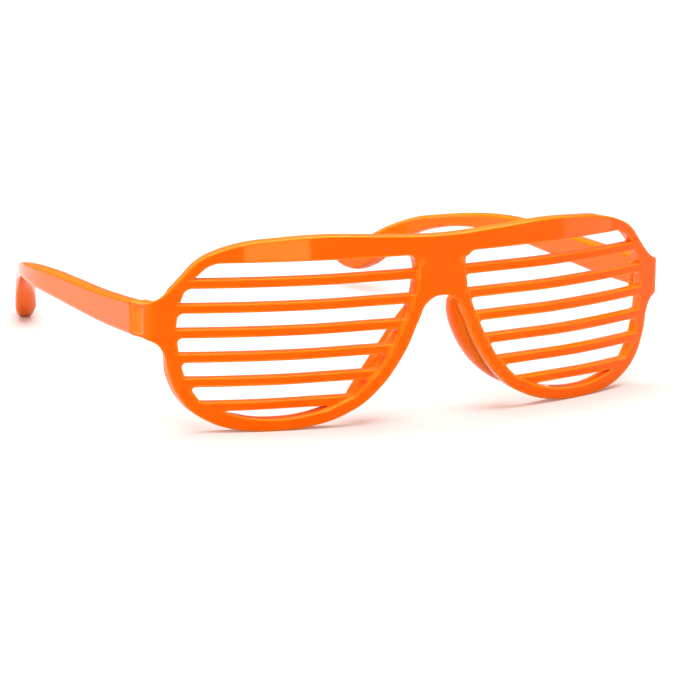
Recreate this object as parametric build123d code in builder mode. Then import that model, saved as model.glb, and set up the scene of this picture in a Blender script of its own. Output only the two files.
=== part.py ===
"""Slatted party glasses: a one-piece slatted front, two folding temples and their hinge screws.

Millimetres, +Z up, the wearer looks along -Y and the table is z = 0. The glasses stand open on the
two rims and the temple tips, with the origin in the middle of the space that they cover.
"""
import math
import os

from build123d import *

os.makedirs("parts", exist_ok=True)

# Overall sizes
half_width = 77.0
front_height = 50.0
overall_depth = 172.0
wrap_radius = 178.8

# Front moulding
front_thickness = 4.0
bar_underside = 43.75
corner_inset = 2.0
endpiece_top = 33.5
endpiece_height = 9.0
endpiece_round = 2.6
seam_setback = 22.8

# Slats across each lens opening
slat_pitch = 6.34
slat_count = 6
slat_height = 2.35
slat_depth = 3.0
slat_recess = 0.5
slat_edge_round = 0.55
slat_root = 0.9

# Nose pads behind the nasal edges of the rims
pad_setback = 6.0
pad_reach = 5.4
pad_bulge = 1.8

# Hinges
hinge_inset = 4.7
knuckle_radius = 2.1
knuckle_gap = 0.3
lug_height = 2.3
hinge_drop = 1.6
knuckle_reach = 3.0
axial_gap = 0.15
butt_gap = 0.12
screw_radius = 0.6
screw_running_gap = 0.05
screw_head_radius = 1.15
screw_head_height = 0.7
screw_head_gap = 0.1
screw_slot_width = 0.3
screw_slot_depth = 0.3
screw_tip_cover = 0.9

# Temples
temple_thickness = 3.6
straight_length = 68.2
bend_radius = 110.0
bend_angle = 17.0
temple_edge_round = 0.9
arm_overrun = 4.0
left_tip_lift = 0.0
right_tip_lift = 6.2

# Places that follow from these sizes
corner_half_width = half_width - corner_inset
front_y = -overall_depth / 2
back_y = overall_depth / 2
wrap_centre_y = front_y + wrap_radius
seam_y = front_y + seam_setback
hinge_x = half_width - hinge_inset
endpiece_bottom = endpiece_top - endpiece_height
temple_length = back_y - seam_y
bend_y = seam_y + straight_length
bend_centre = (half_width - bend_radius, bend_y)
tip_run = temple_length - straight_length
arm_inner_x = half_width - temple_thickness
hinge_place = (hinge_x, seam_y)
middle_bottom = endpiece_bottom + lug_height + axial_gap
hinge_height = endpiece_height - hinge_drop
middle_height = hinge_height - 2 * lug_height - 2 * axial_gap
screw_length = hinge_height - screw_tip_cover
cut_reach = 2 * half_width

# Front view of half the front moulding, as shares of the corner half width and the front height
brow_shares = [
    (0.000, 0.972),
    (0.240, 0.988),
    (0.430, 1.000),
    (0.570, 0.991),
    (0.690, 0.967),
    (0.785, 0.922),
    (0.840, 0.876),
    (0.884, 0.808),
]
brow_end_share = (0.921, 0.742)
brow_end_direction = (1, -1.45)
endpiece_blend_share = (0.962, 0.690)
underside_blend_share = (0.968, 0.470)
rim_shares = [
    (0.939, 0.400),
    (0.921, 0.290),
    (0.866, 0.146),
    (0.808, 0.076),
    (0.718, 0.020),
    (0.600, 0.000),
    (0.477, 0.014),
    (0.350, 0.070),
    (0.249, 0.165),
    (0.141, 0.366),
    (0.086, 0.538),
]
bridge_side_share = (0.058, 0.618)
bridge_side_direction = (-0.42, 1)
bridge_middle_share = (0.000, 0.654)

# Front view of one lens opening, from the nasal end of its straight top, round by the temporal side
lens_top_shares = (0.133, 0.790)
lens_shares = [
    (0.850, 0.822),
    (0.896, 0.690),
    (0.911, 0.560),
    (0.896, 0.340),
    (0.838, 0.172),
    (0.730, 0.082),
    (0.613, 0.064),
    (0.500, 0.078),
    (0.400, 0.118),
    (0.308, 0.180),
    (0.227, 0.302),
    (0.177, 0.428),
    (0.135, 0.556),
    (0.103, 0.684),
    (0.093, 0.780),
    (0.100, 0.840),
]

# Nose pad stations along the nasal edge of the rim: place in the front view, then its size share
pad_stations = [
    (0.068, 0.636, 0.42),
    (0.093, 0.540, 0.82),
    (0.138, 0.420, 1.02),
    (0.190, 0.300, 1.10),
    (0.245, 0.200, 0.85),
    (0.310, 0.110, 0.40),
]

# Temple from the hinge seam to the tip, as shares of the temple's length, with its upper and lower edges
# as shares of the endpiece's top
upper_shares = [
    (0.000, 1.000),
    (0.149, 0.950),
    (0.283, 0.927),
    (0.417, 0.905),
    (0.551, 0.851),
    (0.651, 0.779),
    (0.718, 0.716),
    (0.786, 0.636),
]
hook_back_shares = [(0.839, 0.532), (0.880, 0.420), (0.922, 0.310), (0.966, 0.205), (1.000, 0.110)]
lower_shares = [
    (0.000, 0.726),
    (0.149, 0.700),
    (0.283, 0.694),
    (0.417, 0.693),
    (0.551, 0.688),
    (0.651, 0.655),
    (0.718, 0.590),
    (0.786, 0.480),
]
hook_front_shares = [(0.839, 0.335), (0.879, 0.175), (0.910, 0.070)]
tip_share = (0.964, 0.0)


def front_point(share):
    """Front view point of the front moulding from its share of the half width and height."""
    return (share[0] * corner_half_width, share[1] * front_height)


def wrap_y(x):
    """How far back the front face stands at a distance x from the middle."""
    return wrap_centre_y - math.sqrt(wrap_radius**2 - x**2)


def slat_bottom(number):
    """Height of the lower edge of a slat, counted from the brow bar down."""
    return bar_underside - number * slat_pitch


def side_point(share, tip_lift):
    """Side view point of a temple, raised towards the tip by the tip lift."""
    return (seam_y + share[0] * temple_length, share[1] * endpiece_top + share[0] * tip_lift)


# One lens opening with its slats, for both sides
lens_left_end = (lens_top_shares[0] * corner_half_width, bar_underside)
lens_right_end = (lens_top_shares[1] * corner_half_width, bar_underside)
lens_plane = Plane.XZ.offset(-front_y + front_thickness)
lens_reach = front_thickness + seam_setback

with BuildSketch(lens_plane) as lens:
    with BuildLine():
        Line(lens_left_end, lens_right_end)
        Spline(lens_right_end, *[front_point(share) for share in lens_shares], lens_left_end)
    make_face()
    mirror(about=Plane.YZ)

wrap_half_angle = math.degrees(math.asin(corner_half_width / wrap_radius))
wrap_start = math.radians(wrap_half_angle)
slat_plane = Plane(
    origin=(0, wrap_centre_y, 0),
    x_dir=(-math.sin(wrap_start), -math.cos(wrap_start), 0),
    z_dir=(-math.cos(wrap_start), math.sin(wrap_start), 0),
)
slat_centre_radius = wrap_radius - slat_recess - slat_depth / 2
wrap_axis = Axis((0, wrap_centre_y, 0), (0, 0, 1))

with BuildPart() as slats:
    with BuildSketch(slat_plane):
        for number in range(1, slat_count + 1):
            with Locations((slat_centre_radius, slat_bottom(number) + slat_height / 2)):
                RectangleRounded(slat_depth, slat_height, slat_edge_round)
    revolve(axis=wrap_axis, revolution_arc=2 * wrap_half_angle)
    with BuildSketch(lens_plane):
        add(lens.sketch)
        offset(amount=slat_root)
    extrude(amount=-lens_reach, mode=Mode.INTERSECT)

# Nose pads: one banana-shaped cushion along each nasal edge, lofted through its stations
pad_places = [front_point(station[:2]) for station in pad_stations]
with BuildPart() as nose_pads:
    for index, station in enumerate(pad_stations):
        before = pad_places[max(index - 1, 0)]
        after = pad_places[min(index + 1, len(pad_places) - 1)]
        along = Vector(after[0] - before[0], 0, after[1] - before[1]).normalized()
        place = pad_places[index]
        middle_y = wrap_y(place[0]) + pad_setback
        station_plane = Plane(origin=(place[0], middle_y, place[1]), x_dir=(0, 1, 0), z_dir=along)
        with BuildSketch(station_plane):
            Ellipse(pad_reach * station[2], pad_bulge * station[2])
    loft()
    mirror(about=Plane.YZ)

# The front: brow bar, rims, bridge and endpieces in one moulding
corner_y = wrap_y(corner_half_width)
corner_edge_place = (corner_half_width, corner_y, endpiece_top - endpiece_height / 2)
block_x = hinge_x - knuckle_radius
with BuildPart() as front_frame:
    with BuildSketch(Plane.XY):
        with Locations((0, wrap_centre_y)):
            Circle(wrap_radius)
            Circle(wrap_radius - front_thickness, mode=Mode.SUBTRACT)
        with Locations((0, front_y)):
            Rectangle(2 * corner_half_width, 2 * seam_setback, mode=Mode.INTERSECT)
    extrude(amount=front_height)
    with BuildSketch(Plane.XY):
        with BuildLine():
            Polyline(
                (corner_half_width - front_thickness, wrap_y(corner_half_width - front_thickness)),
                (corner_half_width, corner_y),
                (half_width, seam_y),
                (hinge_x, seam_y),
                (corner_half_width - front_thickness, corner_y + front_thickness),
                close=True,
            )
        make_face()
    extrude(amount=front_height)
    corner_edges = front_frame.edges().filter_by(Axis.Z).sort_by_distance(corner_edge_place)
    fillet(corner_edges[0], radius=endpiece_round)
    for level, height in ((0, endpiece_bottom), (endpiece_top, front_height - endpiece_top)):
        with BuildSketch(Plane.XY.offset(level)):
            with Locations((0, wrap_centre_y)):
                Circle(wrap_radius - front_thickness)
        extrude(amount=height, mode=Mode.SUBTRACT)
    with BuildSketch(Plane.XY.offset(endpiece_bottom)):
        with BuildLine():
            Polyline(
                (corner_half_width, corner_y + front_thickness),
                (corner_half_width, seam_y),
                (hinge_x, seam_y),
                (block_x, seam_y - knuckle_radius),
                (block_x, wrap_y(block_x) + front_thickness / 2),
                close=True,
            )
        make_face()
        with Locations(hinge_place):
            Circle(knuckle_radius)
    extrude(amount=hinge_height)
    with BuildSketch(Plane.XY.offset(middle_bottom - axial_gap)):
        with Locations(hinge_place):
            Circle(knuckle_radius + knuckle_gap)
    extrude(amount=middle_height + 2 * axial_gap, mode=Mode.SUBTRACT)
    with BuildSketch(Plane.XY.offset(endpiece_bottom)):
        with Locations(hinge_place):
            Circle(screw_radius)
    extrude(amount=screw_length, mode=Mode.SUBTRACT)
    with BuildSketch(Plane.XY.offset(endpiece_bottom)):
        with Locations(hinge_place):
            Circle(screw_head_radius + screw_head_gap)
    extrude(amount=screw_head_height + screw_head_gap, mode=Mode.SUBTRACT)
    split(bisect_by=Plane.YZ)
    mirror(about=Plane.YZ)
    with BuildSketch(Plane.XZ) as outline:
        with BuildLine():
            Spline(*[front_point(share) for share in brow_shares], front_point(brow_end_share))
            Spline(
                front_point(brow_end_share),
                front_point(endpiece_blend_share),
                (half_width, endpiece_top),
                tangents=[brow_end_direction, (1, 0)],
            )
            Line((half_width, endpiece_top), (half_width, endpiece_bottom))
            Line((half_width, endpiece_bottom), front_point(underside_blend_share))
            Spline(front_point(underside_blend_share), *[front_point(share) for share in rim_shares])
            Spline(
                front_point(rim_shares[-1]),
                front_point(bridge_side_share),
                front_point(bridge_middle_share),
                tangents=[bridge_side_direction, (-1, 0)],
            )
            Line(front_point(bridge_middle_share), front_point(brow_shares[0]))
        make_face()
        mirror(about=Plane.YZ)
    extrude(amount=cut_reach, both=True, mode=Mode.INTERSECT)
    with BuildSketch(lens_plane):
        add(lens.sketch)
    extrude(amount=-lens_reach, mode=Mode.SUBTRACT)
    add(slats.part)
    add(nose_pads.part)

front_frame.part.label = "front_frame"
export_step(front_frame.part, "parts/front_frame.step")


# Temples: a flat arm with its own plan and side curves, a hooked tip and the middle hinge knuckle
temple_sides = {"temple_left": left_tip_lift, "temple_right": right_tip_lift}
for name, tip_lift in temple_sides.items():
    upper_points = [side_point(share, tip_lift) for share in upper_shares]
    lower_points = [side_point(share, tip_lift) for share in lower_shares]
    hook_back = [side_point(share, tip_lift) for share in hook_back_shares]
    hook_front = [side_point(share, tip_lift) for share in hook_front_shares]
    tip_bottom = side_point(tip_share, tip_lift)
    with BuildPart() as temple:
        with BuildSketch(Plane.XY):
            with BuildLine():
                Line((arm_inner_x, seam_y - arm_overrun), (half_width, seam_y - arm_overrun))
                Line((half_width, seam_y - arm_overrun), (half_width, bend_y))
                outer = CenterArc(bend_centre, bend_radius, 0, bend_angle)
                inner = CenterArc(bend_centre, bend_radius - temple_thickness, 0, bend_angle)
                outer_run = Line(outer @ 1, outer @ 1 + outer % 1 * tip_run)
                inner_run = Line(inner @ 1, inner @ 1 + inner % 1 * tip_run)
                Line(outer_run @ 1, inner_run @ 1)
                Line((arm_inner_x, bend_y), (arm_inner_x, seam_y - arm_overrun))
            make_face()
        extrude(amount=front_height, both=True)
        with BuildSketch(Plane.YZ):
            with BuildLine():
                upper = Spline(*upper_points)
                lower = Spline(*lower_points)
                Spline(upper @ 1, *hook_back, tip_bottom, tangents=[upper % 1, (-1, 0)])
                Spline(lower @ 1, *hook_front, tip_bottom, tangents=[lower % 1, (1, 0)])
                Line(lower @ 0, upper @ 0)
            make_face()
        extrude(amount=cut_reach, both=True, mode=Mode.INTERSECT)
        arm_edges = temple.edges().filter_by(lambda edge: edge.center().Y > seam_y + temple_edge_round)
        fillet(arm_edges, radius=temple_edge_round)
        with BuildSketch(Plane.XY.offset(endpiece_bottom)):
            with Locations(hinge_place):
                Rectangle(cut_reach, 2 * butt_gap)
                Circle(knuckle_radius + knuckle_gap)
        extrude(amount=front_height, mode=Mode.SUBTRACT)
        with BuildSketch(Plane.XY.offset(middle_bottom)):
            with Locations(hinge_place):
                Circle(knuckle_radius)
                Rectangle(2 * knuckle_radius, knuckle_reach, align=(Align.MIN, Align.MIN))
                Circle(screw_radius + screw_running_gap, mode=Mode.SUBTRACT)
        extrude(amount=middle_height)
        if name == "temple_left":
            mirror(about=Plane.YZ, mode=Mode.REPLACE)
    temple.part.label = name
    export_step(temple.part, f"parts/{name}.step")


# Hinge screws: one up through the underside of each endpiece, slotted head flush in its recess
for name, side in {"hinge_screw_left": -1, "hinge_screw_right": 1}.items():
    with BuildPart() as hinge_screw:
        with BuildSketch(Plane.XY.offset(endpiece_bottom)):
            with Locations((side * hinge_x, seam_y)):
                Circle(screw_head_radius)
        extrude(amount=screw_head_height)
        with BuildSketch(Plane.XY.offset(endpiece_bottom)):
            with Locations((side * hinge_x, seam_y)):
                Circle(screw_radius)
        extrude(amount=screw_length)
        with BuildSketch(Plane.XY.offset(endpiece_bottom)):
            with Locations((side * hinge_x, seam_y)):
                Rectangle(2 * screw_head_radius, screw_slot_width)
        extrude(amount=screw_slot_depth, mode=Mode.SUBTRACT)
    hinge_screw.part.label = name
    export_step(hinge_screw.part, f"parts/{name}.step")
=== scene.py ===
"""Slatted party glasses standing open on a pale table, lit by soft boxes."""
import math

import bmesh
import bpy
from mathutils import Matrix, Vector


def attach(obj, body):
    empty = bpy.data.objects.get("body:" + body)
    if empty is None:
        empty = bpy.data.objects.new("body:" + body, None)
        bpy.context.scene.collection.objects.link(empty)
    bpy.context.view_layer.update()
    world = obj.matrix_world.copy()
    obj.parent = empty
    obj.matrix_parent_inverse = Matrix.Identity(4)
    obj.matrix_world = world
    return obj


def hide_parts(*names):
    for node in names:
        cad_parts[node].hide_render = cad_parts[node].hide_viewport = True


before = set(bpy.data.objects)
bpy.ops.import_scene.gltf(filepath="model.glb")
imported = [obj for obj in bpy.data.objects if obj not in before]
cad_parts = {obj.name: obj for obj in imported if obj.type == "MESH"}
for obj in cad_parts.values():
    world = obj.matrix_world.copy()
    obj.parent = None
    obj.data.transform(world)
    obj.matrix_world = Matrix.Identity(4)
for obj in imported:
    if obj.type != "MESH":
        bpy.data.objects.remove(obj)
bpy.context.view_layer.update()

MM = 0.001
PHOTO_SIZE = 680
SENSOR_WIDTH = 36.0

# All sizes of the glasses are in millimetres, and the CAD model has the same main ones.
# A size named _RUN is a pair: a change of shape begins at the first and is complete at the second.
HALF_WIDTH = 77.0
FRONT_Y = -86.0
SEAM_BACK = 22.8
SEAM_Y = FRONT_Y + SEAM_BACK

# The photograph's camera: where it aims, from how far and from which side
AIM = Vector((-29.3, FRONT_Y, 23.6)) * MM
CAMERA_DISTANCE = 689.0 * MM
CAMERA_AZIMUTH = math.radians(25.78)
CAMERA_ELEVATION = math.radians(12.53)
CAMERA_ROLL = math.radians(0.33)
FOCAL_PIXELS = 2720.0

# The plate of the front and its wrap round the face
WRAP_RADIUS = 178.8
WRAP_CENTRE_Y = FRONT_Y + WRAP_RADIUS
FRONT_THICKNESS = 4.0
FRONT_ROUNDING = 0.42

# The rounded corner where the front turns back into the endpiece, along the front's flat width.
# The plate's depth leans from backwards to inwards before it.
CORNER_START = 73.95
CORNER_RADIUS = 2.6
FACET_HEADING = math.radians(72.4)
LEAN_START = 69.5
ENDPIECE_END = 81.57
ENDPIECE_INWARD = 1.17

# The upper outer shoulder of a rim, whose sides stand square to the wrap: how far from the lens,
# how high and how far out that sets in
SHOULDER_RIM_RUN = (0.6, 2.6)
SHOULDER_Z_RUN = (32.0, 38.0)
SHOULDER_X_RUN = (44.0, 60.0)

# The lens fields: slats a share thinner than the rims, set back by a shallow step beside the nose
SLAT_THINNING = 0.2
NASAL_RECESS = 0.9
NASAL_STEP_RUN = (-0.42, 0.05)
RECESS_FADE_RUN = (8.0, 26.0)
TEMPORAL_STEP_RUN = (0.0, 0.7)
FIELD_BOTTOM_RUN = (4.0, 5.6)
FIELD_TOP_Z = 42.5

# The pocket in the side of each endpiece
POCKET_SPAN = (77.2, 80.6)
POCKET_HEIGHTS = (25.5, 32.4)
POCKET_SLOPE = 0.25
POCKET_DEPTH = 0.35
FACING_FORWARD = -0.99

# The hinges round their screws. Plans are points by distance out and back from the front's apex.
HINGE_X = 72.3
HINGE_BOTTOM_Z = 24.5
HINGE_TOP_Z = 31.9
FRONT_KNUCKLES = [(HINGE_BOTTOM_Z, 26.8), (29.6, HINGE_TOP_Z)]
TEMPLE_KNUCKLE = (26.95, 29.45)
KNUCKLE_RADIUS = 2.1
KNUCKLE_ROUNDING = 0.25
BLOCK_PLAN = [(75.2, 19.0), (75.2, 22.7), (HINGE_X, 22.7), (70.2, 20.7), (70.2, 17.8)]
BLOCK_ROUNDING = 0.3
WEB_PLAN = [(72.6, 23.0), (74.4, 23.0), (74.4, 25.8), (72.6, 25.8)]
WEB_ROUNDING = 0.2

# The temples: a bend in behind the ear, then a thicker paddle that thins again at its toe
TEMPLE_THICKNESS = 3.6
TEMPLE_ROUNDING = 1.0
TEMPLE_SEAM_GAP = 0.12
TEMPLE_LENGTH = 149.2
BEND_START_Y = SEAM_Y + 68.2
BEND_RADIUS = 110.0
BEND_ANGLE = math.radians(17.0)
PADDLE_THICKENING = 0.75
PADDLE_Y_RUN = (SEAM_Y + 116.0, SEAM_Y + 134.0)
TOE_THINNING = 0.5
TOE_Z_RUN = (-2.0, 5.0)
RIGHT_TIP_LIFT = 6.2

# How finely the shapes are drawn, how far a knot's handle stretches along a side or reaches towards
# a corner's point, and where the shapes are cut so that they can bend
CURVE_STEPS = 8
ROUNDING_STEPS = 2
HANDLE_LENGTH = 0.3
HANDLE_REACH = 0.55
MERGE_DISTANCE = 0.002
CUT_TOLERANCE = 0.0001
FRONT_CUT_PITCH = 1.5
CORNER_CUT_PITCH = 0.36
CORNER_CUTS = 8
TEMPLE_CUT_PITCH = 2.0
SLAT_CUT_MARGIN = 0.55
STEP_CUT_REACH = 3.0
SHARP_TURN = math.radians(22.0)

# Outlines are points to pass smoothly, or corners with what their rounding takes off each side.

# Half the front moulding, flat, from the top of the bridge round to the arch below it
FRONT_OUTLINE = [
    (0.0, 48.55), (18.0, 49.35), (32.3, 49.95), (42.8, 49.5), (51.8, 48.6), (58.9, 46.7),
    (63.6, 44.2), (67.0, 40.6), (69.9, 37.3), (72.9, 34.8), (76.5, 33.7),
    (ENDPIECE_END, 33.5, 0.0), (ENDPIECE_END, 24.5, 0.0),
    (76.5, 24.3), (73.2, 23.2), (71.3, 20.4), (70.1, 14.9), (66.7, 7.7), (61.6, 3.4),
    (54.2, 0.7), (45.0, 0.0), (35.8, 0.7), (26.2, 3.5), (18.7, 8.25), (10.6, 18.3),
    (6.45, 26.9), (4.35, 30.9), (0.0, 32.7),
]
# The slits of one lens from the brow bar down, each from its lower nasal corner outwards
SLIT_OUTLINES = [
    [(7.0, 39.76, 0.0), (64.2, 39.76, 0.0), (60.2, 43.75, 2.4), (7.4, 43.75, 2.6)],
    [(7.85, 33.42, 0.0), (67.5, 33.42, 0.0), (66.1, 37.41, 1.5), (7.2, 37.41, 1.3)],
    [(10.35, 27.08, 0.0), (68.4, 27.08, 0.0), (67.9, 31.07, 1.4), (8.85, 31.07, 1.3)],
    [(13.55, 20.74, 0.0), (67.7, 20.74, 0.0), (68.2, 24.73, 1.4), (11.5, 24.73, 1.3)],
    [(17.5, 14.4, 0.0), (66.3, 14.4, 0.0), (67.4, 18.39, 1.5), (14.75, 18.39, 1.4)],
    [(24.2, 8.06, 0.0), (62.6, 8.06, 0.0), (65.4, 12.05, 1.8), (19.6, 12.05, 1.7)],
    [
        (29.8, 5.71, 1.7), (33.4, 4.6), (38.2, 3.6), (44.0, 3.2), (49.8, 3.55), (54.2, 4.6),
        (57.8, 5.71, 1.7),
    ],
]
# Where the lens field meets the rim: heights, and how far out the edge is there
NASAL_EDGE = [
    (4.0, 33.0), (8.06, 24.2), (14.4, 17.5), (20.74, 13.55), (27.08, 10.35), (33.42, 7.85),
    (40.0, 7.0),
]
TEMPORAL_EDGE = [
    (5.0, 56.0), (8.06, 62.6), (14.4, 66.3), (20.74, 67.7), (27.08, 68.4), (33.42, 67.5),
    (40.0, 64.0), (43.75, 60.2), (44.6, 50.0),
]

# Nose pad from the bridge down: distance out, height, distance behind the front face, half its
# depth and half its bulge
PAD_STATIONS = [
    (4.9, 31.5, 5.0, 2.0, 0.8), (6.7, 27.0, 6.2, 3.9, 2.4), (10.1, 20.6, 6.8, 4.6, 3.0),
    (14.3, 14.6, 7.0, 4.8, 3.0), (19.0, 9.6, 6.6, 4.0, 2.2), (24.4, 5.8, 5.0, 2.2, 1.0),
]
PAD_SIDES = 12
PAD_SMOOTHING = 2

# A temple seen from its side: distance back from the front's apex, and height
TEMPLE_OUTLINE = [
    (SEAM_BACK + TEMPLE_SEAM_GAP, 33.5, 0.0), (45.0, 31.8), (65.0, 31.05), (85.0, 30.3),
    (105.0, 28.5), (120.0, 26.1), (130.0, 23.9), (140.0, 21.3), (148.0, 17.8), (154.2, 14.1),
    (160.4, 10.4), (166.9, 6.9), (171.2, 4.2), (171.4, 1.6), (169.2, 0.3), (166.4, 0.0),
    (163.2, 0.2), (158.6, 2.3), (154.0, 5.9), (148.0, 11.2), (140.0, 16.1), (130.0, 19.7),
    (120.0, 21.9), (105.0, 23.0), (85.0, 23.2), (65.0, 23.2), (45.0, 23.4),
    (SEAM_BACK + TEMPLE_SEAM_GAP, 24.4, 0.0),
]

# Each moulding's orange: deepest, brightest, and the lighter orange of its sharp edges, a little
# wear but mostly a painted highlight
FRONT_ORANGES = [(0.96, 0.102, 0.0, 1.0), (1.0, 0.122, 0.0, 1.0), (1.0, 0.25, 0.012, 1.0)]
TEMPLE_ORANGES = [(0.96, 0.11, 0.001, 1.0), (1.0, 0.13, 0.002, 1.0), (1.0, 0.18, 0.006, 1.0)]
STEEL_GREYS = [(0.5, 0.5, 0.52, 1.0), (0.72, 0.72, 0.74, 1.0)]

# Soft boxes in metres: place, what each faces, width, height and brightness. The two cards are
# small and near, for the paler streaks along the brow bar.
SOFT_BOXES = [
    ("top_box", (0.0, 0.0, 0.9), (0.0, 0.0, 0.0), 1.2, 1.2, 5.0),
    ("left_box", (-0.8, 0.35, 0.3), (0.0, 0.0, 0.02), 0.7, 0.5, 3.6),
    ("front_box", (-0.35, -0.8, 0.72), (0.0, -0.05, 0.02), 0.6, 0.6, 3.3),
    ("brow_card", (-0.0555, -0.236, 0.0185), (-0.04, -0.08, 0.045), 0.05, 0.012, 6.0),
    ("side_card", (0.175, -0.150, 0.0215), (0.045, -0.08, 0.04), 0.046, 0.012, 1.4),
]
# Watts that a square metre of soft box takes for each step of brightness
WATTS_PER_BRIGHTNESS = 4.0
# In metres
TABLE_HALF_WIDTH = 3.0


def add_object(name, data):
    """A new object in the scene that shows the data."""
    added = bpy.data.objects.new(name, data)
    bpy.context.collection.objects.link(added)
    return added


def add_camera():
    """The camera at the photograph's viewing angle."""
    look = Vector((
        math.sin(CAMERA_AZIMUTH) * math.cos(CAMERA_ELEVATION),
        math.cos(CAMERA_AZIMUTH) * math.cos(CAMERA_ELEVATION),
        -math.sin(CAMERA_ELEVATION),
    ))
    level_right = Vector((math.cos(CAMERA_AZIMUTH), -math.sin(CAMERA_AZIMUTH), 0.0))
    level_up = level_right.cross(look)
    right = level_right * math.cos(CAMERA_ROLL) + level_up * math.sin(CAMERA_ROLL)
    up = right.cross(look)
    data = bpy.data.cameras.new("camera")
    data.sensor_width = SENSOR_WIDTH
    data.lens = FOCAL_PIXELS * SENSOR_WIDTH / PHOTO_SIZE
    data.clip_start = 0.01
    camera = add_object("camera", data)
    turn = Matrix((right, up, -look)).transposed().to_4x4()
    camera.matrix_world = Matrix.Translation(AIM - look * CAMERA_DISTANCE) @ turn
    bpy.context.scene.camera = camera


def ease(value, start, end):
    """How far a value has come from its start to its end, 0 to 1, with a soft start and stop."""
    share = min(max((value - start) / (end - start), 0.0), 1.0)
    return share * share * (3.0 - 2.0 * share)


def wrap_y(x):
    """How far back the front face stands at a distance x from the middle."""
    return WRAP_CENTRE_Y - math.sqrt(WRAP_RADIUS**2 - x**2)


def edge_at(height, edge):
    """How far out a lens edge is at a height."""
    for (low, x_low), (high, x_high) in zip(edge, edge[1:]):
        if height <= high:
            return x_low + (x_high - x_low) * max(height - low, 0.0) / (high - low)
    return edge[-1][1]


def field_depth(flat):
    """The depth of a point of the flat front, less in the lens field and set back by the nose."""
    if flat.z > FIELD_TOP_Z:
        return flat.y
    run = abs(flat.x)
    from_nose = run - edge_at(flat.z, NASAL_EDGE)
    from_temple = edge_at(flat.z, TEMPORAL_EDGE) - run
    past_step = ease(from_nose, *NASAL_STEP_RUN) * ease(flat.z, *FIELD_BOTTOM_RUN)
    recess = NASAL_RECESS * past_step * (1.0 - ease(from_nose, *RECESS_FADE_RUN))
    thinning = SLAT_THINNING * past_step * ease(from_temple, *TEMPORAL_STEP_RUN)
    return flat.y * (1.0 - thinning) + recess


def front_place(flat):
    """Where a point of the flat front lands, wrapped round the face, with the endpieces turned."""
    run = abs(flat.x)
    wrap_heading = math.asin(CORNER_START / WRAP_RADIUS)
    corner_length = CORNER_RADIUS * (FACET_HEADING - wrap_heading)
    if run <= CORNER_START:
        x, y = run, wrap_y(run)
    else:
        heading = wrap_heading + min(run - CORNER_START, corner_length) / CORNER_RADIUS
        x = CORNER_START + CORNER_RADIUS * (math.sin(heading) - math.sin(wrap_heading))
        y = wrap_y(CORNER_START) + CORNER_RADIUS * (math.cos(wrap_heading) - math.cos(heading))
        facet_run = max(run - CORNER_START - corner_length, 0.0)
        x += facet_run * math.cos(FACET_HEADING)
        y += facet_run * math.sin(FACET_HEADING)
    lean = ease(run, LEAN_START, CORNER_START + corner_length)
    on_rim = ease(run - edge_at(flat.z, TEMPORAL_EDGE), *SHOULDER_RIM_RUN)
    on_shoulder = on_rim * ease(flat.z, *SHOULDER_Z_RUN) * ease(run, *SHOULDER_X_RUN)
    depth = field_depth(flat)
    x -= depth * (lean * ENDPIECE_INWARD + (1.0 - lean) * on_shoulder * run / WRAP_RADIUS)
    y += depth * (1.0 - lean)
    return Vector((math.copysign(x, flat.x), y, flat.z))


def temple_place(flat, tip_lift):
    """Where a point of the flat right temple lands once the arm bends in behind the ear."""
    run = flat.x - BEND_START_Y
    bend_run = BEND_RADIUS * math.sin(BEND_ANGLE)
    turn = math.asin(min(max(run, 0.0), bend_run) / BEND_RADIUS)
    outer_x = HALF_WIDTH - BEND_RADIUS * (1.0 - math.cos(turn))
    outer_x -= max(run - bend_run, 0.0) * math.tan(BEND_ANGLE)
    lift = tip_lift * (flat.x - SEAM_Y) / TEMPLE_LENGTH
    paddle = ease(flat.x, *PADDLE_Y_RUN)
    thickness = TEMPLE_THICKNESS * (1.0 + PADDLE_THICKENING * paddle)
    toe = 1.0 - TOE_THINNING * paddle * (1.0 - ease(flat.z, *TOE_Z_RUN))
    depth = thickness / 2 + (flat.y / TEMPLE_THICKNESS - 0.5) * thickness * toe
    return Vector((outer_x - depth / math.cos(turn), flat.x, flat.z + lift))


def outline_knots(points):
    """The knots of an outline, each a place and two handles: a rounded corner takes two knots."""
    knots = []
    for number, (across, up, *rounding) in enumerate(points):
        here = Vector((across, up))
        if not rounding:
            knots.append((here, None, None))
            continue
        back = (Vector(points[number - 1][:2]) - here).normalized()
        on = (Vector(points[(number + 1) % len(points)][:2]) - here).normalized()
        if rounding[0] == 0.0:
            knots.append((here, here + back * HANDLE_LENGTH, here + on * HANDLE_LENGTH))
            continue
        start = here + back * rounding[0]
        end = here + on * rounding[0]
        knots.append((start, start + back * HANDLE_LENGTH, start.lerp(here, HANDLE_REACH)))
        knots.append((end, end.lerp(here, HANDLE_REACH), end + on * HANDLE_LENGTH))
    return knots


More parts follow.
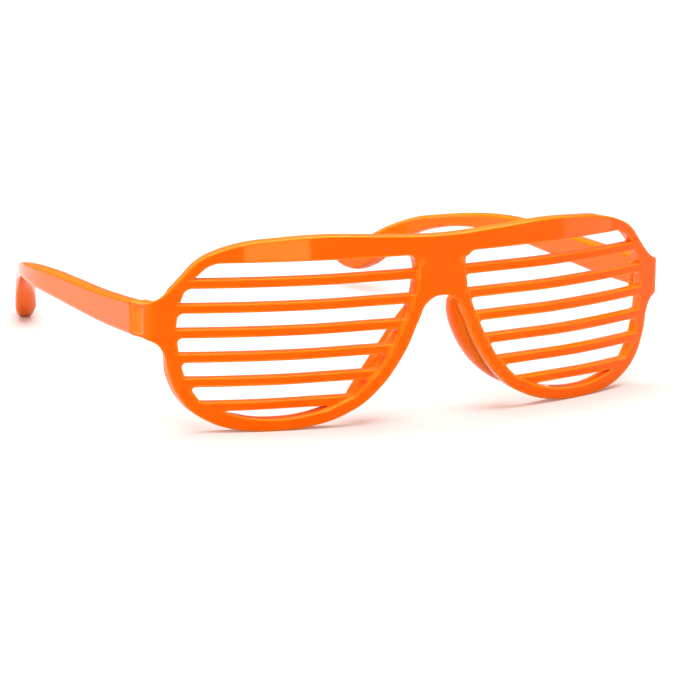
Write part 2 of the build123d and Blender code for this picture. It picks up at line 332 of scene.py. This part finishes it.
def flat_moulding(name, outlines, thickness, rounding):
    """A flat plate along X and Z, its front at Y zero, with rounded edges round every outline."""
    curve = bpy.data.curves.new(name, "CURVE")
    curve.dimensions = "2D"
    curve.fill_mode = "BOTH"
    curve.resolution_u = CURVE_STEPS
    curve.extrude = thickness / 2 - rounding
    curve.bevel_depth = rounding
    curve.bevel_resolution = ROUNDING_STEPS
    curve.offset = -rounding
    for points in outlines:
        knots = outline_knots(points)
        spline = curve.splines.new("BEZIER")
        spline.bezier_points.add(len(knots) - 1)
        spline.use_cyclic_u = True
        for knot, (place, before, after) in zip(spline.bezier_points, knots):
            knot.co = place.to_3d()
            knot.handle_left_type = "FREE" if before else "AUTO"
            knot.handle_right_type = "FREE" if after else "AUTO"
            if before:
                knot.handle_left = before.to_3d()
            if after:
                knot.handle_right = after.to_3d()
    drawn = add_object(name, curve)
    bpy.context.view_layer.update()
    filled = drawn.evaluated_get(bpy.context.evaluated_depsgraph_get())
    mesh = bpy.data.meshes.new_from_object(filled)
    bpy.data.objects.remove(drawn)
    shape = bmesh.new()
    shape.from_mesh(mesh)
    bpy.data.meshes.remove(mesh)
    bmesh.ops.remove_doubles(shape, verts=shape.verts, dist=MERGE_DISTANCE)
    bmesh.ops.translate(shape, verts=shape.verts, vec=(0.0, 0.0, -thickness / 2))
    bmesh.ops.rotate(shape, verts=shape.verts, matrix=Matrix.Rotation(math.pi / 2, 3, "X"))
    return shape


def turn_outwards(shape):
    """Points the faces of a closed shape outwards."""
    shape.normal_update()
    bmesh.ops.recalc_face_normals(shape, faces=shape.faces)


def mirrored_points(points):
    """An outline's points on the other side of the nose, in reverse so that they run on."""
    return [(-across, *rest) for across, *rest in reversed(points)]


def both_sides(places):
    """The distances out, on both sides of the nose."""
    return [side * place for side in (-1, 1) for place in places]


def cut_shape(shape, parts, place, normal):
    """Cuts some parts of the shape along a plane."""
    bmesh.ops.bisect_plane(
        shape, geom=parts, dist=CUT_TOLERANCE, plane_co=place, plane_no=normal)


def slice_across(shape, places, direction):
    """Cuts the whole shape at each place along a direction, so that it can bend there."""
    direction = Vector(direction)
    for place in places:
        everything = shape.verts[:] + shape.edges[:] + shape.faces[:]
        cut_shape(shape, everything, direction * place, direction)


def cut_nasal_step(shape):
    """Cuts the slats along both lines of the step down from the nasal edge of the rim."""
    for (low, x_low), (high, x_high) in zip(NASAL_EDGE, NASAL_EDGE[1:]):
        for side in (-1, 1):
            for across in NASAL_STEP_RUN:
                beside = [
                    face for face in shape.faces
                    if is_beside(face, side * x_low, side * x_high, low, high)]
                parts = {part for face in beside for part in (face, *face.edges, *face.verts)}
                place = (side * (x_low + across), 0.0, low)
                normal = (high - low, 0.0, side * (x_low - x_high))
                cut_shape(shape, list(parts), place, normal)


def is_beside(face, x_low, x_high, low, high):
    """Whether a face lies near the nasal edge between two of its heights."""
    middle = face.calc_center_median()
    nearest = min(x_low, x_high) - STEP_CUT_REACH
    furthest = max(x_low, x_high) + STEP_CUT_REACH
    return low <= middle.z < high and nearest < middle.x < furthest


def is_pocket(face):
    """Whether a face of the flat front lies in the floor of an endpiece's pocket."""
    middle = face.calc_center_median()
    in_span = POCKET_SPAN[0] < abs(middle.x) < POCKET_SPAN[1]
    in_heights = POCKET_HEIGHTS[0] < middle.z < POCKET_HEIGHTS[1]
    return in_span and in_heights and face.normal.y < FACING_FORWARD


def front_plate():
    """Brow bar, rims, bridge, slats and endpieces, with a shallow pocket in each endpiece."""
    outer = FRONT_OUTLINE + mirrored_points(FRONT_OUTLINE[1:-1])
    outlines = [outer] + SLIT_OUTLINES + [mirrored_points(slit) for slit in SLIT_OUTLINES]
    shape = flat_moulding("front_plate", outlines, FRONT_THICKNESS, FRONT_ROUNDING)
    furthest = int(CORNER_START / FRONT_CUT_PITCH)
    places = [step * FRONT_CUT_PITCH for step in range(-furthest, furthest + 1)]
    corner = [CORNER_START + step * CORNER_CUT_PITCH for step in range(CORNER_CUTS)]
    places += both_sides(corner)
    places += both_sides(POCKET_SPAN)
    slice_across(shape, places, (1, 0, 0))
    heights = [slit[0][1] - SLAT_CUT_MARGIN for slit in SLIT_OUTLINES]
    heights += [slit[2][1] + SLAT_CUT_MARGIN for slit in SLIT_OUTLINES]
    slice_across(shape, heights + list(POCKET_HEIGHTS), (0, 0, 1))
    cut_nasal_step(shape)
    pockets = [face for face in shape.faces if is_pocket(face)]
    bmesh.ops.inset_region(
        shape, faces=pockets, thickness=POCKET_SLOPE, depth=-POCKET_DEPTH, use_even_offset=True)
    for vert in shape.verts:
        vert.co = front_place(vert.co)
    return shape


def nose_pad():
    """The right nose pad: a soft-edged cushion behind the nasal edge of the rim."""
    shape = bmesh.new()
    rings = []
    for number, (across, up, back, half_depth, bulge) in enumerate(PAD_STATIONS):
        before = PAD_STATIONS[max(number - 1, 0)]
        after = PAD_STATIONS[min(number + 1, len(PAD_STATIONS) - 1)]
        along = Vector((after[0] - before[0], 0.0, after[1] - before[1])).normalized()
        towards_nose = Vector((along.z, 0.0, -along.x))
        backwards = Vector((0.0, half_depth, 0.0))
        turn = Matrix((backwards, towards_nose * bulge, along)).transposed().to_4x4()
        place = Matrix.Translation((across, wrap_y(across) + back, up))
        ring = bmesh.ops.create_circle(
            shape, cap_ends=False, radius=1.0, segments=PAD_SIDES, matrix=place @ turn)
        rings.append(list({edge for vert in ring["verts"] for edge in vert.link_edges}))
    for upper, lower in zip(rings, rings[1:]):
        bmesh.ops.bridge_loops(shape, edges=upper + lower)
    for ring in (rings[0], rings[-1]):
        bmesh.ops.contextual_create(shape, geom=ring)
    turn_outwards(shape)
    return smoothed(shape, PAD_SMOOTHING)


def as_mesh(name, shape):
    """A mesh of the shape, which is used up."""
    mesh = bpy.data.meshes.new(name)
    shape.to_mesh(mesh)
    shape.free()
    return mesh


def smoothed(shape, levels):
    """The shape after a subdivision surface."""
    mesh = as_mesh("rough_shape", shape)
    rough = add_object("rough_shape", mesh)
    subdivision = rough.modifiers.new("smooth", "SUBSURF")
    subdivision.levels = levels
    subdivision.render_levels = levels
    bpy.context.view_layer.update()
    finished = bmesh.new()
    finished.from_object(rough, bpy.context.evaluated_depsgraph_get())
    bpy.data.objects.remove(rough)
    bpy.data.meshes.remove(mesh)
    return finished


def round_edges(shape, edges, rounding):
    """Rounds some edges of the shape."""
    bmesh.ops.bevel(
        shape, geom=edges, offset=rounding, segments=2, profile=0.5, affect="EDGES", material=-1)


def upright_block(plan, bottom, top, rounding):
    """A block that stands on the plan, its edges slightly rounded."""
    shape = bmesh.new()
    corners = [shape.verts.new((x, FRONT_Y + back, bottom)) for x, back in plan]
    lifted = bmesh.ops.extrude_face_region(shape, geom=[shape.faces.new(corners)])
    risen = [item for item in lifted["geom"] if isinstance(item, bmesh.types.BMVert)]
    bmesh.ops.translate(shape, verts=risen, vec=(0.0, 0.0, top - bottom))
    turn_outwards(shape)
    round_edges(shape, shape.edges[:], rounding)
    return shape


def knuckle(bottom, top):
    """One hinge knuckle round the screw."""
    shape = bmesh.new()
    middle = Matrix.Translation((HINGE_X, SEAM_Y, (bottom + top) / 2))
    bmesh.ops.create_cone(
        shape, cap_ends=True, segments=32, radius1=KNUCKLE_RADIUS, radius2=KNUCKLE_RADIUS,
        depth=top - bottom, matrix=middle)
    rims = [
        edge for edge in shape.edges
        if math.isclose(edge.verts[0].co.z, edge.verts[1].co.z)]
    round_edges(shape, rims, KNUCKLE_ROUNDING)
    return shape


def put(target, shape):
    """Adds a finished shape to a piece's shape."""
    carrier = as_mesh("carrier", shape)
    target.from_mesh(carrier)
    bpy.data.meshes.remove(carrier)


def mirrored(shape):
    """A copy of the shape on the other side of the nose."""
    other = shape.copy()
    bmesh.ops.scale(other, verts=other.verts, vec=(-1.0, 1.0, 1.0))
    turn_outwards(other)
    return other


def put_both(target, shape):
    """Adds a shape on both sides of the nose."""
    put(target, mirrored(shape))
    put(target, shape)


def mark_edges(mesh):
    """Marks each point with how sharply the surface turns there, for the lighter edges: a little
    wear and a painted highlight.
    """
    shape = bmesh.new()
    shape.from_mesh(mesh)
    turns = []
    for vert in shape.verts:
        angles = [edge.calc_face_angle(0.0) for edge in vert.link_edges]
        turns.append(min(max(angles, default=0.0) / SHARP_TURN, 1.0))
    shape.free()
    mesh.attributes.new("edge_turn", "FLOAT", "POINT").data.foreach_set("value", turns)


def finish_piece(name, shape, body, node, material):
    """Turns a shape in millimetres into a piece that rides on its body and stands for its node."""
    bmesh.ops.scale(shape, verts=shape.verts, vec=(MM, MM, MM))
    for face in shape.faces:
        face.smooth = True
    mesh = as_mesh(name, shape)
    mark_edges(mesh)
    mesh.materials.append(material)
    piece = add_object(name, mesh)
    weighted = piece.modifiers.new("flat_faces_first", "WEIGHTED_NORMAL")
    weighted.weight = 60
    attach(piece, body)
    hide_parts(node)


def front_moulding(material):
    """The whole one-piece front."""
    whole = front_plate()
    put_both(whole, nose_pad())
    put_both(whole, upright_block(BLOCK_PLAN, HINGE_BOTTOM_Z, HINGE_TOP_Z, BLOCK_ROUNDING))
    for heights in FRONT_KNUCKLES:
        put_both(whole, knuckle(*heights))
    finish_piece("front_moulding", whole, "front", "front_frame", material)


def temple_arm(name, side, tip_lift, node, material):
    """One temple with its hinge knuckle."""
    points = [(FRONT_Y + back, *rest) for back, *rest in TEMPLE_OUTLINE]
    shape = flat_moulding(name, [points], TEMPLE_THICKNESS, TEMPLE_ROUNDING)
    cuts = range(1, int(TEMPLE_LENGTH / TEMPLE_CUT_PITCH) + 1)
    slice_across(shape, [SEAM_Y + step * TEMPLE_CUT_PITCH for step in cuts], (1, 0, 0))
    for vert in shape.verts:
        vert.co = temple_place(vert.co, tip_lift)
    turn_outwards(shape)
    put(shape, knuckle(*TEMPLE_KNUCKLE))
    put(shape, upright_block(WEB_PLAN, *TEMPLE_KNUCKLE, WEB_ROUNDING))
    if side < 0:
        flipped = mirrored(shape)
        shape.free()
        shape = flipped
    finish_piece(name, shape, node, node, material)


def add_node(tree, kind, values=(), **settings):
    """A new shader node with its settings, and the values of its sockets by name or number."""
    node = tree.nodes.new(kind)
    for setting, value in settings.items():
        setattr(node, setting, value)
    set_values(node, values)
    return node


def set_values(node, values):
    """Sets a node's sockets by name or number."""
    for socket, value in dict(values).items():
        node.inputs[socket].default_value = value


def mixed(tree, factor, first, second):
    """A colour mixed by a factor from a colour or link and a second colour."""
    mix = add_node(tree, "ShaderNodeMix", {}, data_type="RGBA")
    tree.links.new(factor, mix.inputs["Factor"])
    if isinstance(first, tuple):
        mix.inputs["A"].default_value = first
    else:
        tree.links.new(first, mix.inputs["A"])
    mix.inputs["B"].default_value = second
    return mix.outputs["Result"]


def moulding_marks():
    """Group: slow colour drift from the melt's flow, fine scuffs, edges lightened by a little wear
    and a painted highlight, a slight ripple.
    """
    group = bpy.data.node_groups.new("moulding_marks", "ShaderNodeTree")
    for name in ("Drift Scale", "Ripple Scale", "Scuff Scale"):
        group.interface.new_socket(name, in_out="INPUT", socket_type="NodeSocketFloat")
    for name in ("Drift", "Scuff", "Edge Wear And Highlight", "Height"):
        group.interface.new_socket(name, in_out="OUTPUT", socket_type="NodeSocketFloat")
    connect = group.links.new
    given = add_node(group, "NodeGroupInput")
    result = add_node(group, "NodeGroupOutput")
    place = add_node(group, "ShaderNodeTexCoord")

    drift = add_node(group, "ShaderNodeTexNoise", {"Detail": 2.0})
    connect(place.outputs["Object"], drift.inputs["Vector"])
    connect(given.outputs["Drift Scale"], drift.inputs["Scale"])
    connect(drift.outputs["Fac"], result.inputs["Drift"])

    ripple = add_node(group, "ShaderNodeTexNoise", {"Detail": 1.0})
    connect(place.outputs["Object"], ripple.inputs["Vector"])
    connect(given.outputs["Ripple Scale"], ripple.inputs["Scale"])

    stretch = add_node(
        group, "ShaderNodeMapping", {"Rotation": (0.4, 0.2, 0.5), "Scale": (1.0, 1.0, 9.0)})
    scratch = add_node(group, "ShaderNodeTexNoise", {"Detail": 4.0, "Roughness": 0.7})
    connect(place.outputs["Object"], stretch.inputs["Vector"])
    connect(stretch.outputs["Vector"], scratch.inputs["Vector"])
    connect(given.outputs["Scuff Scale"], scratch.inputs["Scale"])
    thin = add_node(group, "ShaderNodeMapRange", {"From Min": 0.6, "From Max": 0.74})
    connect(scratch.outputs["Fac"], thin.inputs["Value"])
    connect(thin.outputs["Result"], result.inputs["Scuff"])

    # Sharp edges, lightened as much as the drift allows: a little wear and mostly painted highlight
    # lines
    turned = add_node(group, "ShaderNodeAttribute", attribute_name="edge_turn")
    edge_wear_and_highlight = add_node(group, "ShaderNodeMath", operation="MULTIPLY")
    connect(turned.outputs["Fac"], edge_wear_and_highlight.inputs[0])
    connect(drift.outputs["Fac"], edge_wear_and_highlight.inputs[1])
    connect(edge_wear_and_highlight.outputs[0], result.inputs["Edge Wear And Highlight"])

    # Scuffs are a quarter as deep as the ripple is high
    height = add_node(group, "ShaderNodeMath", {1: -0.25}, operation="MULTIPLY_ADD")
    connect(thin.outputs["Result"], height.inputs[0])
    connect(ripple.outputs["Fac"], height.inputs[2])
    connect(height.outputs[0], result.inputs["Height"])
    return group


def new_material(name):
    """An empty node material, its node tree and its shader."""
    material = bpy.data.materials.new(name)
    material.use_nodes = True
    return material, material.node_tree, material.node_tree.nodes["Principled BSDF"]


def add_marks(tree, shader, marks, scales, smooth, scuffing, relief):
    """Places the moulding marks in a material: its roughness, what a scuff adds, its relief."""
    surface = add_node(tree, "ShaderNodeGroup", scales, node_tree=marks)
    gloss = add_node(tree, "ShaderNodeMath", {1: scuffing, 2: smooth}, operation="MULTIPLY_ADD")
    tree.links.new(surface.outputs["Scuff"], gloss.inputs[0])
    tree.links.new(gloss.outputs[0], shader.inputs["Roughness"])
    bump = add_node(tree, "ShaderNodeBump", relief)
    tree.links.new(surface.outputs["Height"], bump.inputs["Height"])
    tree.links.new(bump.outputs["Normal"], shader.inputs["Normal"])
    return surface


def orange_plastic(name, marks, deep, bright, worn_and_highlit):
    """Glossy injection-moulded orange."""
    material, tree, shader = new_material(name)
    surface = add_marks(
        tree, shader, marks, smooth=0.06, scuffing=0.16,
        scales={"Drift Scale": 34.0, "Ripple Scale": 420.0, "Scuff Scale": 120.0},
        relief={"Strength": 0.12, "Distance": 0.00008})
    drifted = mixed(tree, surface.outputs["Drift"], deep, bright)
    # The lighter orange on sharp edges is a painted highlight along them, with a little wear
    edged = mixed(tree, surface.outputs["Edge Wear And Highlight"], drifted, worn_and_highlit)
    tree.links.new(edged, shader.inputs["Base Color"])
    set_values(shader, {
        "IOR": 1.42,
        "Specular Tint": (1.0, 0.5, 0.12, 1.0),
        "Subsurface Weight": 0.3,
        "Subsurface Radius": (1.0, 0.5, 0.2),
        "Subsurface Scale": 0.004,
    })
    return material


def plain_steel(marks, darker, paler):
    """Bare steel of the hinge screws."""
    material, tree, shader = new_material("screw_steel")
    surface = add_marks(
        tree, shader, marks, smooth=0.25, scuffing=0.25,
        scales={"Drift Scale": 600.0, "Ripple Scale": 5000.0, "Scuff Scale": 1500.0},
        relief={"Strength": 0.3, "Distance": 0.00002})
    tone = mixed(tree, surface.outputs["Drift"], darker, paler)
    tree.links.new(tone, shader.inputs["Base Color"])
    set_values(shader, {"Metallic": 1.0})
    return material


def floor_material():
    """Pale table that glows white to the camera, dimmer near the glasses so their shadow shows; the
    glow's warm tint is painted orange bounce light in that shadow.
    """
    material, tree, shader = new_material("white_table")
    set_values(shader, {
        "Base Color": (0.4, 0.4, 0.4, 1.0),
        "Roughness": 0.7,
        "Specular IOR Level": 0.0,
        # The glow's warm tint: painted orange bounce light, seen where the shadow falls
        "Emission Color": (1.0, 0.5, 0.36, 1.0),
    })
    place = add_node(tree, "ShaderNodeTexCoord")
    away = add_node(tree, "ShaderNodeVectorMath", operation="LENGTH")
    level = add_node(
        tree, "ShaderNodeMapRange",
        {"From Min": 0.16, "From Max": 0.7, "To Min": 0.38, "To Max": 2.6},
        interpolation_type="SMOOTHSTEP")
    path = add_node(tree, "ShaderNodeLightPath")
    glow = add_node(tree, "ShaderNodeMath", operation="MULTIPLY")
    tree.links.new(place.outputs["Object"], away.inputs[0])
    tree.links.new(away.outputs["Value"], level.inputs["Value"])
    tree.links.new(path.outputs["Is Camera Ray"], glow.inputs[0])
    tree.links.new(level.outputs["Result"], glow.inputs[1])
    tree.links.new(glow.outputs[0], shader.inputs["Emission Strength"])
    return material


def add_stage():
    """The table top."""
    shape = bmesh.new()
    bmesh.ops.create_grid(shape, x_segments=1, y_segments=1, size=TABLE_HALF_WIDTH)
    mesh = as_mesh("table_top", shape)
    mesh.materials.append(floor_material())
    table = add_object("table_top", mesh)


def soft_box(name, place, aim, width, height, brightness):
    """A rectangular area light of the given brightness, unseen by the camera."""
    data = bpy.data.lights.new(name, "AREA")
    data.shape = "RECTANGLE"
    data.size = width
    data.size_y = height
    data.energy = brightness * WATTS_PER_BRIGHTNESS * width * height
    light = add_object(name, data)
    light.visible_camera = False
    light.location = place
    light.rotation_euler = (Vector(aim) - Vector(place)).to_track_quat("-Z", "Y").to_euler()


def add_light():
    """Surroundings that are white to the camera and dim to the glasses, and the soft boxes."""
    world = bpy.data.worlds.new("studio")
    bpy.context.scene.world = world
    world.use_nodes = True
    tree = world.node_tree
    background = tree.nodes["Background"]
    set_values(background, {"Color": (1.0, 1.0, 1.0, 1.0)})
    path = add_node(tree, "ShaderNodeLightPath")
    level = add_node(tree, "ShaderNodeMapRange", {"To Min": 0.15, "To Max": 1.0})
    tree.links.new(path.outputs["Is Camera Ray"], level.inputs["Value"])
    tree.links.new(level.outputs["Result"], background.inputs["Strength"])
    for box in SOFT_BOXES:
        soft_box(*box)


bpy.context.scene.view_settings.view_transform = "Standard"
add_camera()
add_stage()
add_light()
surface_marks = moulding_marks()
front_plastic = orange_plastic("frame_plastic", surface_marks, *FRONT_ORANGES)
temple_plastic = orange_plastic("temple_plastic", surface_marks, *TEMPLE_ORANGES)
steel = plain_steel(surface_marks, *STEEL_GREYS)
front_moulding(front_plastic)
temple_arm("temple_arm_left", -1, 0.0, "temple_left", temple_plastic)
temple_arm("temple_arm_right", 1, RIGHT_TIP_LIFT, "temple_right", temple_plastic)
for node in ("hinge_screw_left", "hinge_screw_right"):
    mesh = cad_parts[node].data
    mesh.materials.clear()
    mesh.materials.append(steel)
